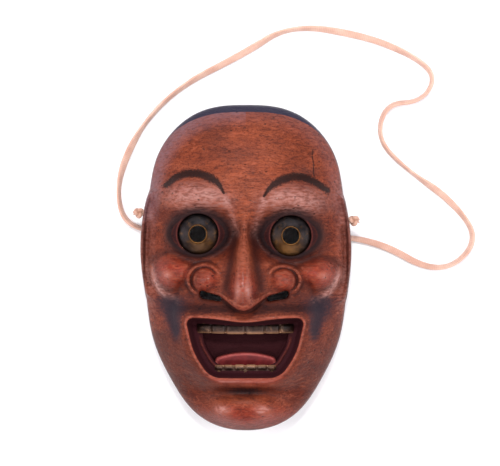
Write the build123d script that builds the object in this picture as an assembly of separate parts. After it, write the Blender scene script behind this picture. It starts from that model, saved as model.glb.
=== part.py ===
from build123d import *
from math import atan2, cos, exp, hypot, pi, radians, sin, sqrt, tan
import os

# A carved wooden noh mask lying face up, in millimetres.
# X runs to the viewer's right, Y to the crown of the head and Z out of the face.
# Z = 0 is the surface that the back rim stands on, and the origin is the middle of the rim's outline.

# Outline of the head, a superellipse that is boxier over the crown than round the chin
HALF_WIDTH = 65.0
WIDEST_Y = -3.0
CROWN_LENGTH = 108.0
CHIN_LENGTH = 102.0
CROWN_POWER = 2.8
CHIN_POWER = 2.2

# Carved relief
DOME_HEIGHT = 50.0
DOME_SHARE = 0.86
DOME_POWER = 2.7
LEAN = 0.035                 # the carver set the viewer's right eye and ear a little lower
NOSE_RISE = 19.0
NOSE_SIDES = 8.5
NOSE_WING = (25.5, -7.5)

# Wood thickness
RIM_WIDTH = 7.5
WALL = 9.0

# Eyes
EYE_X = 29.7
EYE_Y = 21.7
EYE_OPENING = 12.9
EYE_SEAT = 14.7              # radius of the pocket that the cap drops into from behind
SEAT_Z = 42.3                # ledge that the cap's flange bears on
BALL_RADIUS = 30.0
BALL_Z = 19.0
LID_HALF_WIDTH = 17.5
LID_HALF_HEIGHT = 14.0
CAP_RADIUS = 15.2
CAP_Z = 34.0
CAP_SHEET = 0.8
CAP_FLANGE = 14.5
PUPIL = 5.2
LIP_WIDTH = 1.1             # thick edge round the pupil
LIP_RISE = 0.4
PIN_CIRCLE = 13.7
PINS_PER_EYE = 4

# Nails
NAIL_SHANK = 0.45
NAIL_HEAD = 0.85
NAIL_HEAD_THICK = 0.4
NAIL_DEPTH = 2.0
NAIL_PLAY = 0.05

# Mouth
MOUTH_TOP = -31.0
MOUTH_BOTTOM = -69.5
MOUTH_HALF_TOP = 38.0
MOUTH_HALF_BOTTOM = 21.0
MOUTH_CORNER = 6.0
THROAT_TOP = -36.5
THROAT_BOTTOM = -61.5
THROAT_HALF_TOP = 28.5
THROAT_HALF_BOTTOM = 18.5
THROAT_CORNER = 4.0
MOUTH_BACK = 20.0            # the hollow behind comes no higher than this behind the mouth
MOUTH_BACK_HALF = (30.0, 17.0)
MOUTH_BACK_Y = -52.5
MOUTH_BACK_SLOPE = 15.0      # width of the slope round the thick wood there
ARCH_RADIUS = 90.0           # the gums lie on a cylinder of this radius that runs along Y
ARCH_Z = -50.0

# Teeth, embossed in two gilt plates that lie on the gums
PLATE = 0.8
TOOTH_RISE = 1.5
TOOTH_GAP = 0.6
TOOTH_CORNER = 1.6
UPPER_TEETH = (12.4, 9.6, 8.6)     # widths from the middle outwards
UPPER_GUM_Y = -33.0
UPPER_EDGE_Y = -41.4
LOWER_TEETH = (7.2, 6.6, 5.6)
LOWER_GUM_Y = -66.4
LOWER_EDGE_Y = -60.6
GUM_STRIP = 2.2              # flat edge of each plate that the nails go through

# Tongue, on the floor of the mouth and let into a housing behind the lower gum
TONGUE_WIDTH = 39.0
TONGUE_TIP_Y = -53.6
TONGUE_SIDE_Y = -57.0
TONGUE_ROOT_Y = -68.0
TONGUE_LOW = 25.0
TONGUE_TOP = 33.0
TONGUE_ROUNDING = 2.5

# Nostrils
NOSTRIL = (20.0, -18.5)
NOSTRIL_LENGTH = 13.0
NOSTRIL_HEIGHT = 4.6

# Ears
EAR_REACH = 67.6
EAR_TOP_X = 63.4
EAR_BOTTOM_X = 66.2
EAR_TOP_Y = 48.0
EAR_BOTTOM_Y = -20.0
EAR_LOW = 7.0
EAR_HIGH = 29.0
EAR_DROP = 1.2               # how far the viewer's left ear is higher, and the right ear lower
CONCHA_X = 61.4
CONCHA_Y = 27.0
CONCHA_LENGTH = 30.0
CONCHA_WIDTH = 5.0
CONCHA_DEPTH = 5.0

# Arch in the rim at each ear, which the cord passes under
ARCH_TOP_Y = 62.0
ARCH_BOTTOM_Y = -44.0
ARCH_RISE = 8.0

# Cord, knotted outside one ear, led through it, under the rim, round a loose loop and back
CORD = 3.4
HOLE_RADIUS = 2.4
HOLE_LEFT_Y = 35.4
HOLE_RIGHT_Y = 30.4
HOLE_Z = 23.0
HOLE_DEPTH = 27.0            # how far in from the ear's outside the hole's groove runs
TURN_X = 38.5                # the cord turns back here, inside the hollow
TABLE_GAP = 0.1
TURN_SHARE = 0.45            # share of the shorter run that each bend uses
KNOT_RADIUS = 3.0
KNOT_X = 68.6
LOOP = (
    (-79, 24), (-86, 55), (-70, 92), (-43, 119), (-3, 139), (29, 159), (79, 151), (111, 137),
    (124, 124), (114, 108), (91, 107), (85, 84), (104, 64), (134, 44), (153, 17), (126, -6),
    (83, 19),
)


def smooth(t):
    """0 below 0, 1 above 1 and an even S between."""
    t = min(max(t, 0.0), 1.0)
    return t * t * (3 - 2 * t)


def bump(x, y, cx, cy, rx, ry, power=1.0):
    """A round hill of height 1 at (cx, cy); a higher power has a flatter top."""
    return exp(-((((x - cx) / rx) ** 2 + ((y - cy) / ry) ** 2) ** power))


def outline_share(x, y, inset=0.0):
    """0 in the middle of the head, and 1 on its outline drawn in by inset."""
    length = CROWN_LENGTH if y > WIDEST_Y else CHIN_LENGTH
    power = CROWN_POWER if y > WIDEST_Y else CHIN_POWER
    total = abs(x / (HALF_WIDTH - inset)) ** power + abs((y - WIDEST_Y) / (length - inset)) ** power
    return total ** (1 / power)


def dome(x, y, inset=0.0):
    """Height of the plain egg under the features; past the outline it runs on straight."""
    share = outline_share(x, y, inset)
    height = (DOME_HEIGHT - inset) * sqrt(1 - DOME_SHARE * min(share, 1.0) ** DOME_POWER)
    return height - 60.0 * max(share - 1.0, 0.0)


def leaned(x, y):
    """Y as the carver's eye line has it: the upper face leans down to the viewer's right."""
    return y + LEAN * x * smooth((y + 10) / 25)


def mouth_distance(x, y):
    """About how far (x, y) is outside the rim of the mouth."""
    slope = (MOUTH_HALF_TOP - MOUTH_HALF_BOTTOM) / (MOUTH_TOP - MOUTH_BOTTOM)
    side = (abs(x) - MOUTH_HALF_TOP - (y - MOUTH_TOP) * slope) / hypot(1, slope)
    return max(side, y - MOUTH_TOP, MOUTH_BOTTOM - y)


def nose(x, y):
    """Ridge, sides and nostril wings, cut off below along the nose's lower edge."""
    ax = abs(x)
    lower_edge = -25.5 + 9.5 * smooth(ax / 19) - 5 * smooth((ax - 24) / 9)
    above = smooth((y - lower_edge + 3) / 5)
    profile = NOSE_RISE * smooth((36 - y) / 50) * (1 - 0.42 * smooth((-9 - y) / 17.5))
    ridge = profile * exp(-((ax / 7) ** 2))
    sides = NOSE_SIDES * smooth((30 - y) / 34) * exp(-((ax / 20) ** 2.4))
    wing = 6.0 * bump(ax, y, *NOSE_WING, 7.5, 7)
    return (ridge + sides + wing) * above


def eyeball(x, y):
    """Height of the wooden eyeball, and about how far (x, y) is outside the lids."""
    ex, ey = abs(x) - EYE_X, leaned(x, y) - EYE_Y
    share = hypot(ex / LID_HALF_WIDTH, ey / LID_HALF_HEIGHT)
    return BALL_Z + sqrt(max(BALL_RADIUS**2 - ex**2 - ey**2, 25.0)), (share - 1) * 15


def face_height(x, y):
    """Height of the carved face over the table."""
    ax, y_up = abs(x), leaned(x, y)
    height = dome(x, y)
    height += 3.0 * bump(x, y_up, 0, 76, 46, 30)                    # forehead
    height += 5.0 * bump(ax, y_up, 34, 43, 22, 12, 1.3)             # under the brows
    height -= 7.0 * bump(ax, y_up, EYE_X, 20.5, 26, 18, 1.8)        # eye hollows
    height -= 2.6 * bump(ax, y_up, 11.5, 20, 6, 12)                 # beside the bridge
    height += 6.5 * bump(ax, y_up, 46.5, -2.5, 14, 10, 1.7)         # cheekbones
    height -= 4.5 * bump(ax, y_up, 55, -27, 10, 11)                 # under the cheekbones
    height += 6.5 * exp(-((max(mouth_distance(x, y), 0) / 10.5) ** 2))  # lips
    height += 7.5 * bump(x, y, 0, -90, 27, 10.5, 1.5)               # chin
    height -= 4.2 * bump(x, y, 0, -78, 21, 3.8)                     # crease over the chin
    height += nose(x, y_up)
    ball, outside_lids = eyeball(x, y)
    share = exp(-((max(outside_lids - 0.6, 0) / 3) ** 2))
    return height * (1 - share) + (ball + 1) * share


def inside_height(x, y):
    """Height of the hollow behind the face: a plain egg, deeper at the nose, shallower at the eyes and mouth."""
    height = dome(x, y, WALL)
    height += 9.0 * bump(x, y, 0, -4, 13, 17)
    height -= 5.0 * bump(abs(x), y, 27, EYE_Y, 22, 17, 1.5)
    past_x = max(abs(x) - MOUTH_BACK_HALF[0], 0)
    past_y = max(abs(y - MOUTH_BACK_Y) - MOUTH_BACK_HALF[1], 0)
    share = smooth(1 - hypot(past_x, past_y) / MOUTH_BACK_SLOPE)
    return height + share * min(MOUTH_BACK - height, 0)


def height_body(height, inset, rows, columns, top):
    """Solid between the table and a height surface, inside the head's outline drawn in by inset."""
    reach_x, reach_y, floor = HALF_WIDTH + 6, CROWN_LENGTH + 4, -160.0
    sections = []
    for j in range(rows + 1):
        y = reach_y * (2 * j / rows - 1)
        across = [reach_x * (2 * i / columns - 1) for i in range(columns + 1)]
        ridge = Spline(*[(x, y, height(x, y)) for x in across])
        box = Polyline(ridge @ 1, (reach_x, y, floor), (-reach_x, y, floor), ridge @ 0)
        sections.append(Wire([*ridge.edges(), *box.edges()]))
    block = Solid.make_loft(sections, ruled=True)
    return extrude(Plane.XY * head_outline(inset), amount=top) & block


def head_outline(inset=0.0):
    """Face inside the head's outline drawn in by inset."""
    points = []
    for i in range(72):
        angle = 2 * pi * i / 72
        share = outline_share(cos(angle), WIDEST_Y + sin(angle), inset)
        points.append((cos(angle) / share, WIDEST_Y + sin(angle) / share))
    return make_face(Spline(*points, periodic=True))


def trapezoid(top, bottom, half_top, half_bottom, corner):
    """Face of a mouth-shaped opening, with rounded corners."""
    corners = ((-half_top, top), (half_top, top), (half_bottom, bottom), (-half_bottom, bottom))
    return make_face(FilletPolyline(*corners, radius=corner, close=True))


def prism(face, low, high):
    """A face stood up between two heights."""
    return extrude(Pos(0, 0, low) * face, amount=high - low)


def rod(radius, low, high):
    """An upright round bar."""
    return Pos(0, 0, (low + high) / 2) * Cylinder(radius, high - low)


def gum_cylinder(rise):
    """Solid under the curve that the gums follow, raised by rise."""
    return Pos(0, -50, ARCH_Z) * Rot(90, 0, 0) * Cylinder(ARCH_RADIUS + rise, 60)


def gum_z(x):
    """Height of the gums at x."""
    return ARCH_Z + sqrt(ARCH_RADIUS**2 - x**2)


def nail(x, y, z, tilt=0.0, grow=0.0, up=1):
    """A nail with its head's underside at z; up=-1 drives it upwards from behind."""
    shank = rod(NAIL_SHANK + grow, -NAIL_DEPTH - PLATE - grow, 0.1)
    head = rod(NAIL_HEAD + grow, 0, NAIL_HEAD_THICK + grow)
    turn = Rot(0, tilt, 0) if up > 0 else Rot(180, 0, 0)
    return Pos(x, y, z) * turn * (shank + head)


# ---- metal eyes ----
def eye_place(side):
    """The middle of an eye: side is -1 for the viewer's left and 1 for the right."""
    return side * EYE_X, EYE_Y - LEAN * side * EYE_X


def eye_nails(side, grow=0.0):
    """Nails that hold a cap's flange up against its ledge."""
    x, y = eye_place(side)
    spots = PolarLocations(PIN_CIRCLE, PINS_PER_EYE, start_angle=45)
    flat = SEAT_Z - CAP_SHEET
    return [
        nail(x + spot.position.X, y + spot.position.Y, flat, grow=grow, up=-1)
        for spot in spots
    ]


def eye_cap(side):
    """A dished round cap with a flange, and a pupil hole with a thick edge."""
    x, y = eye_place(side)
    outer, inner = CAP_RADIUS, CAP_RADIUS - CAP_SHEET
    top = SEAT_Z - CAP_Z
    low = top - CAP_SHEET
    lip = PUPIL + LIP_WIDTH
    lip_top = sqrt(outer**2 - PUPIL**2) + LIP_RISE
    edge = [
        Line((PUPIL, sqrt(inner**2 - PUPIL**2)), (PUPIL, lip_top)),
        Line((PUPIL, lip_top), (lip, lip_top)),
        Line((lip, lip_top), (lip, sqrt(outer**2 - lip**2))),
        RadiusArc((lip, sqrt(outer**2 - lip**2)), (sqrt(outer**2 - top**2), top), outer),
        Line((sqrt(outer**2 - top**2), top), (CAP_FLANGE, top)),
        Line((CAP_FLANGE, top), (CAP_FLANGE, low)),
        Line((CAP_FLANGE, low), (sqrt(inner**2 - low**2), low)),
        RadiusArc((sqrt(inner**2 - low**2), low), (PUPIL, sqrt(inner**2 - PUPIL**2)), -inner),
    ]
    cap = Pos(x, y, CAP_Z) * revolve(Plane.XZ * make_face(edge), Axis.Z)
    return cap - eye_nails(side, NAIL_PLAY)


# ---- teeth ----
def tooth_row(widths, gum_y, edge_y):
    """Outlines of a row of teeth, from the middle outwards on both sides."""
    down = 1 if edge_y > gum_y else -1
    root_y = gum_y + down * GUM_STRIP
    height = abs(edge_y - root_y)
    outlines = []
    x = 0.0
    for width in widths:
        middle = x + width / 2
        shape = RectangleRounded(width - TOOTH_GAP, height, TOOTH_CORNER)
        for side in (-1, 1):
            outlines.append(Pos(side * middle, (root_y + edge_y) / 2) * shape)
        x += width
    return outlines


def tooth_nails(widths, gum_y, edge_y, grow=0.0):
    """Nails through the flat strip of a plate, at its middle and at both ends."""
    down = 1 if edge_y > gum_y else -1
    reach = sum(widths) - widths[-1] / 2
    spots = []
    for x in (-reach, 0.0, reach):
        tilt = atan2(x, ARCH_RADIUS) * 180 / pi
        z = gum_z(x) + PLATE + 0.02
        spots.append(nail(x, gum_y + down * 1.1, z, tilt=tilt, grow=grow))
    return spots


def tooth_plate(widths, gum_y, edge_y):
    """A curved plate with teeth raised on it."""
    reach = sum(widths)
    low, high = min(gum_y, edge_y), max(gum_y, edge_y)
    down = 1 if edge_y > gum_y else -1
    sheet = Pos(0, (low + high) / 2 - 0.3 * down) * Rectangle(2 * reach, high - low - 0.6)
    plate = prism(sheet, 20, 60) & (gum_cylinder(PLATE) - gum_cylinder(0))
    raised = gum_cylinder(TOOTH_RISE + PLATE) - gum_cylinder(0)
    for outline in tooth_row(widths, gum_y, edge_y):
        plate += prism(outline, 20, 60) & raised
    return plate - tooth_nails(widths, gum_y, edge_y, NAIL_PLAY)


# ---- tongue ----
def tongue_body():
    """A tongue with a rounded tip; its root is square for the housing."""
    half = TONGUE_WIDTH / 2
    tip = ThreePointArc((half, TONGUE_SIDE_Y), (0, TONGUE_TIP_Y), (-half, TONGUE_SIDE_Y))
    sides = Polyline(tip @ 1, (-half, TONGUE_ROOT_Y), (half, TONGUE_ROOT_Y), tip @ 0)
    body = prism(make_face([*tip.edges(), *sides.edges()]), TONGUE_LOW, TONGUE_TOP)
    tip_edge = body.edges().filter_by(GeomType.CIRCLE).sort_by(Axis.Z)[-1]
    return fillet(tip_edge, TONGUE_ROUNDING)


# ---- shell ----
def ear(side):
    """A flat ear on the edge of the head, with a long hollow in it."""
    top, bottom = EAR_TOP_Y - side * EAR_DROP, EAR_BOTTOM_Y
    curve = ThreePointArc(
        (EAR_TOP_X, top), (EAR_REACH, 10.0 - side * EAR_DROP), (EAR_BOTTOM_X, bottom)
    )
    root = Polyline(curve @ 1, (50, bottom + 6), (50, top - 4), curve @ 0)
    flap = prism(make_face([*curve.edges(), *root.edges()]), EAR_LOW, EAR_HIGH)
    return flap if side > 0 else mirror(flap, about=Plane.YZ)


def concha(side):
    """The long hollow in an ear."""
    shape = Ellipse(CONCHA_WIDTH / 2, CONCHA_LENGTH / 2)
    place = Pos(side * CONCHA_X, CONCHA_Y - side * EAR_DROP)
    return prism(place * shape, EAR_HIGH - CONCHA_DEPTH, 60)


def mask_shell():
    """The carved head, hollowed behind, with every opening cut."""
    body = height_body(face_height, 0.0, 54, 36, 100)
    body += [ear(-1), ear(1)]

    mouth = trapezoid(MOUTH_TOP, MOUTH_BOTTOM, MOUTH_HALF_TOP, MOUTH_HALF_BOTTOM, MOUTH_CORNER)
    throat = trapezoid(
        THROAT_TOP, THROAT_BOTTOM, THROAT_HALF_TOP, THROAT_HALF_BOTTOM, THROAT_CORNER
    )
    root_middle = (TONGUE_ROOT_Y + THROAT_BOTTOM) / 2 + 2
    root = Rectangle(TONGUE_WIDTH, THROAT_BOTTOM - TONGUE_ROOT_Y + 4)
    cuts = [
        height_body(inside_height, RIM_WIDTH, 24, 20, 80),
        prism(mouth, 20, 90) - gum_cylinder(0),
        prism(throat, TONGUE_LOW, 60),
        prism(Pos(0, root_middle) * root, TONGUE_LOW, TONGUE_TOP),
    ]
    for side, hole_y in ((-1, HOLE_LEFT_Y), (1, HOLE_RIGHT_Y)):
        x, y = eye_place(side)
        slot = Pos(side * NOSTRIL[0], NOSTRIL[1]) * SlotOverall(NOSTRIL_LENGTH, NOSTRIL_HEIGHT)
        bore = Rot(0, 90, 0) * Cylinder(HOLE_RADIUS, HOLE_DEPTH + 4)
        cuts += [
            Pos(x, y) * rod(EYE_OPENING, 0, 80),
            Pos(x, y) * rod(EYE_SEAT, 0, SEAT_Z),
            prism(slot, 0, 80),
            concha(side),
            Pos(side * (EAR_REACH + 2 - HOLE_DEPTH / 2), hole_y, HOLE_Z) * bore,
            *eye_nails(side, NAIL_PLAY),
        ]
    cuts += tooth_nails(*UPPER_ROW, NAIL_PLAY) + tooth_nails(*LOWER_ROW, NAIL_PLAY)

    chord = (ARCH_TOP_Y - ARCH_BOTTOM_Y) / 2
    radius = (chord**2 + ARCH_RISE**2) / (2 * ARCH_RISE)
    wheel = Rot(0, 90, 0) * Cylinder(radius, 160)
    cuts.append(Pos(0, (ARCH_TOP_Y + ARCH_BOTTOM_Y) / 2, ARCH_RISE - radius) * wheel)
    return body - cuts


# ---- cord ----
def cord_points():
    """Corners of the cord's route, from one knot to the other."""
    z = CORD / 2 + TABLE_GAP
    left_y, right_y = HOLE_LEFT_Y - 10.9, HOLE_RIGHT_Y - 10.4
    return [
        (1.2 - KNOT_X, HOLE_LEFT_Y, HOLE_Z),
        (-TURN_X, HOLE_LEFT_Y, HOLE_Z),
        (-TURN_X, left_y, z),
        *[(x, y, z) for x, y in LOOP],
        (TURN_X, right_y, z),
        (TURN_X, HOLE_RIGHT_Y, HOLE_Z),
        (KNOT_X - 1.2, HOLE_RIGHT_Y, HOLE_Z),
    ]


def bend_radii(points):
    """A radius for each corner, from the shorter of its two runs and the angle it turns."""
    radii = []
    for before, here, after in zip(points, points[1:], points[2:]):
        into, out = Vector(*here) - Vector(*before), Vector(*after) - Vector(*here)
        half_turn = radians(into.get_angle(out)) / 2
        radii.append(TURN_SHARE * min(into.length, out.length) / tan(half_turn))
    return radii


def cord_tube():
    """A round tube along straight runs joined by tangent arcs."""
    points = cord_points()
    radii = bend_radii(points)
    route = FilletPolyline(*points, radius=radii)
    tube = sweep(Plane(route @ 0, z_dir=route % 0) * Circle(CORD / 2), path=route)
    print("cord length", round(route.length, 1), "smallest bend", round(min(radii), 1))
    print("tube volume / section x length", tube.volume / (pi * CORD**2 / 4 * route.length))
    print("bends", [round(radius, 1) for radius in radii])
    return tube


def knot(side):
    """A stopper knot outside an ear, with the cord's end inside it."""
    y = HOLE_LEFT_Y if side < 0 else HOLE_RIGHT_Y
    bite = Pos(-side * KNOT_RADIUS, 0, 0) * Rot(0, 90, 0) * Cylinder(CORD / 2, 2 * KNOT_RADIUS - 2.4)
    return Pos(side * KNOT_X, y, HOLE_Z) * (Sphere(KNOT_RADIUS) - bite)


UPPER_ROW = (UPPER_TEETH, UPPER_GUM_Y, UPPER_EDGE_Y)
LOWER_ROW = (LOWER_TEETH, LOWER_GUM_Y, LOWER_EDGE_Y)

pieces = {
    "mask_shell": mask_shell(),
    "eye_left": eye_cap(-1),
    "eye_right": eye_cap(1),
    "eye_pins_left": Compound(children=eye_nails(-1)),
    "eye_pins_right": Compound(children=eye_nails(1)),
    "upper_teeth": tooth_plate(*UPPER_ROW),
    "lower_teeth": tooth_plate(*LOWER_ROW),
    "teeth_pins_upper": Compound(children=tooth_nails(*UPPER_ROW)),
    "teeth_pins_lower": Compound(children=tooth_nails(*LOWER_ROW)),
    "tongue": tongue_body(),
    "cord": cord_tube(),
    "knot_left": knot(-1),
    "knot_right": knot(1),
}

os.makedirs("parts", exist_ok=True)
for name, piece in pieces.items():
    export_step(piece, f"parts/{name}.step")
    print(name, piece.is_valid, round(piece.volume, 1), piece.bounding_box())
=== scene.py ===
import math
import random

import bpy
import numpy as np
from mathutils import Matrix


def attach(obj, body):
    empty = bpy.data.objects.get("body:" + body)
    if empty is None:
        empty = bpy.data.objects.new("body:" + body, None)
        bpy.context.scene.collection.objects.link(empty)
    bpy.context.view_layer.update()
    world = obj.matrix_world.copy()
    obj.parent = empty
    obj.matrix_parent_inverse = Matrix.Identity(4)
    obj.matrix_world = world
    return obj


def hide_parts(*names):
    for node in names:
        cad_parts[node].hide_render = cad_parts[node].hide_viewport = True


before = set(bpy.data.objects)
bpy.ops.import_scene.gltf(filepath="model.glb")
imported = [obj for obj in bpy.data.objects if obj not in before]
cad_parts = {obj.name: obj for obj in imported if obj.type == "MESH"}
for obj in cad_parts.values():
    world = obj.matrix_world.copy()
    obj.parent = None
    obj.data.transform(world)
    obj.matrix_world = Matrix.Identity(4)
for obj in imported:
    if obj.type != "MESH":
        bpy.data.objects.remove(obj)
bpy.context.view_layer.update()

import openvdb
from mathutils import Vector

MM = 0.001

# ---------------------------------------------------------------- helpers


def smooth(t):
    t = np.clip(t, 0.0, 1.0)
    return t * t * (3 - 2 * t)


def bump(x, y, cx, cy, rx, ry, power=1.0):
    return np.exp(-((((x - cx) / rx) ** 2 + ((y - cy) / ry) ** 2) ** power))


def smax(a, b, k):
    """Larger of two fields, rounded where they meet."""
    h = np.clip(0.5 + 0.5 * (a - b) / k, 0.0, 1.0)
    return b + (a - b) * h + k * h * (1 - h)


def smin(a, b, k):
    return -smax(-a, -b, k)


def path_distance(x, y, points):
    """Distance to a polyline, and the share of its length at the nearest point."""
    best = np.full(np.shape(x), 1e9)
    share = np.zeros(np.shape(x))
    runs = [math.dist(a, b) for a, b in zip(points, points[1:])]
    total = sum(runs)
    gone = 0.0
    for (ax, ay), (bx, by), run in zip(points, points[1:], runs):
        t = ((x - ax) * (bx - ax) + (y - ay) * (by - ay)) / run**2
        t = np.clip(t, 0.0, 1.0)
        d = np.hypot(x - ax - t * (bx - ax), y - ay - t * (by - ay))
        near = d < best
        best = np.where(near, d, best)
        share = np.where(near, (gone + t * run) / total, share)
        gone += run
    return best, share


def arc(points, count=18):
    """Points on a smooth curve through a few corners."""
    p = np.array(points, float)
    p = np.vstack([2 * p[0] - p[1], p, 2 * p[-1] - p[-2]])
    out = []
    for a, b, c, d in zip(p, p[1:], p[2:], p[3:]):
        for t in np.linspace(0, 1, count, endpoint=False):
            q = 2 * b + (c - a) * t + (2 * a - 5 * b + 4 * c - d) * t**2
            out.append(tuple(0.5 * (q + (3 * b - a - 3 * c + d) * t**3)))
    out.append(tuple(p[-2]))
    return out


# ---------------------------------------------------------------- the carved face, in mm

HALF_WIDTH, WIDEST_Y = 65.0, -3.0
CROWN_LENGTH, CHIN_LENGTH = 108.0, 102.0
CROWN_POWER, CHIN_POWER = 2.8, 2.2
LEAN = 0.035
EYE_X, EYE_Y, EYE_LEAN, EYE_SHIFT = 29.2, 21.25, 0.55, 0.5
GUM_RADIUS, GUM_Z = 90.0, -50.0
MOUTH_TOP, MOUTH_BOTTOM = -31.0, -69.0
MOUTH_HALF_TOP, MOUTH_HALF_BOTTOM = 38.0, 21.0
HOLES = ((-1, 35.4), (1, 30.4))
HOLE_Z, HOLE_RADIUS = 23.0, 2.4
THROAT_FLOOR = 25.1
NOSE_TOP = 78.0
NOSE_SHIFT, WING_SHIFT = 0.8, 0.6
NOSTRIL_X, NOSTRIL_Y = 20.5, -17.2
EYE_HOLE, EYE_SEAT, EYE_LEDGE_Z = 12.9, 15.3, 42.3
SIDE_RISE, SIDE_CHORD, SIDE_Y = 8.0, 53.0, 9.0


def outline_share(x, y, inset=0.0):
    """0 in the middle of the head and 1 on its outline: fuller at the temples, leaner at the jaw."""
    x = x * (1 + 0.045 * np.exp(-(((y + 76) / 20) ** 2)) - 0.035 * np.exp(-(((y - 75) / 22) ** 2)))
    up = y > WIDEST_Y
    length = np.where(up, CROWN_LENGTH, CHIN_LENGTH) - inset
    power = np.where(up, CROWN_POWER, CHIN_POWER)
    total = np.abs(x / (HALF_WIDTH - inset)) ** power + np.abs((y - WIDEST_Y) / length) ** power
    return total ** (1 / power)


def outline_distance(x, y, inset=0.0):
    """Roughly how far outside the head's outline a point is."""
    share = outline_share(x, y, inset)
    return (1 - 1 / np.maximum(share, 0.2)) * np.hypot(x, y - WIDEST_Y)


def dome(x, y, inset=0.0):
    share = outline_share(x, y, inset)
    flat = np.sqrt(1 - 0.86 * np.minimum(share, 1.0) ** 2.7)
    return (50.0 - inset) * flat - 60.0 * np.maximum(share - 1.0, 0.0)


def leaned(x, y):
    return y + LEAN * x * smooth((y + 10) / 25)


def mouth_distance(x, y, grow=0.0):
    """Distance outside the rim of the mouth, with a sagging top edge and bowed sides."""
    ax = np.abs(x)
    top = MOUTH_TOP - 1.8 * np.exp(-((ax / 15) ** 2)) + 0.8 * smooth(ax / 30)
    slope = (MOUTH_HALF_TOP - MOUTH_HALF_BOTTOM) / (MOUTH_TOP - MOUTH_BOTTOM)
    side = ax - MOUTH_HALF_TOP - (y - MOUTH_TOP) * slope - 4.0 * np.exp(-(((y + 53) / 15) ** 2))
    side = side / math.hypot(1, slope)
    corner = 6.0
    a, b = side + corner, np.maximum(y - top, MOUTH_BOTTOM - y) + corner
    outside = np.hypot(np.maximum(a, 0), np.maximum(b, 0))
    return np.minimum(np.maximum(a, b), 0) + outside - corner - grow


def throat_distance(x, y):
    ax = np.abs(x)
    side = (ax - 28.5 - (y + 36.5) * 0.4 - 2.0 * np.exp(-(((y + 49) / 8) ** 2))) / 1.077
    a, b = side + 4.0, np.maximum(y + 36.5, -61.5 - y) + 4.0
    return np.minimum(np.maximum(a, b), 0) + np.hypot(np.maximum(a, 0), np.maximum(b, 0)) - 4.0


def eye_frame(x, y):
    """Offsets from the nearer eye's centre, and rough distance outside its lids."""
    ex, ey = np.abs(x + EYE_SHIFT) - EYE_X, from_eye_y(x, y)
    share = (np.abs(ex / 18.8) ** 1.8 + np.abs(ey / 13.6) ** 1.8) ** (1 / 1.8)
    return ex, ey, (share - 1) * 15.0


def gum_height(x):
    return GUM_Z + np.sqrt(GUM_RADIUS**2 - np.minimum(np.abs(x), 60) ** 2)


def nose_edge(ax):
    """Height on the face of the nose's lower edge, from the tip out past the wings."""
    return -25.5 + 9.5 * smooth(ax / 19) - 5.0 * smooth((ax - 24) / 9)


def nose_height(x, y):
    """Relief of the nose, and how far above its lower edge a point is, from 0 to 1."""
    ax = np.abs(x + NOSE_SHIFT)
    lower = nose_edge(ax)
    above = smooth((y - lower + 1.6) / 3.2)
    profile = 19.0 * smooth((36 - y) / 50) ** 0.9
    over = np.clip((-9 - y) / 17.5, 0, 1)
    profile = profile * (1 - 0.42 * over**2.2)
    width = 3.6 + 3.2 * smooth((26 - y) / 32) + 3.2 * smooth((-14 - y) / 9)
    ridge = profile * np.exp(-np.abs(ax / width) ** 2.2)
    sides = 8.5 * smooth((30 - y) / 34) * np.exp(-np.abs(ax / 20) ** 2.4)
    ball = 3.2 * bump(ax, y, 0, -13.0, 8.2, 7.5)
    return (ridge + sides + ball) * above, above


def wing_height(x, y):
    """The volute of a nostril wing: a round bulb in a groove with a crisp outer edge."""
    dx, dy = (np.abs(x + WING_SHIFT) - 24.8) / 1.06, y + 7.2
    d = np.hypot(dx, dy)
    angle = np.arctan2(dy, dx)
    around = smooth((angle + 1.25) / 0.5) * smooth((3.0 - angle) / 0.7)
    bulb = 6.0 * np.exp(-((d / 6.8) ** 2.6))
    groove = -1.3 * np.exp(-(((d - 7.9) / 0.85) ** 2)) * around
    edge = 1.2 * np.exp(-(((d - 9.5) / 1.0) ** 2)) - 0.8 * np.exp(-(((d - 11.6) / 1.2) ** 2))
    return bulb, groove + edge * around


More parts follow.
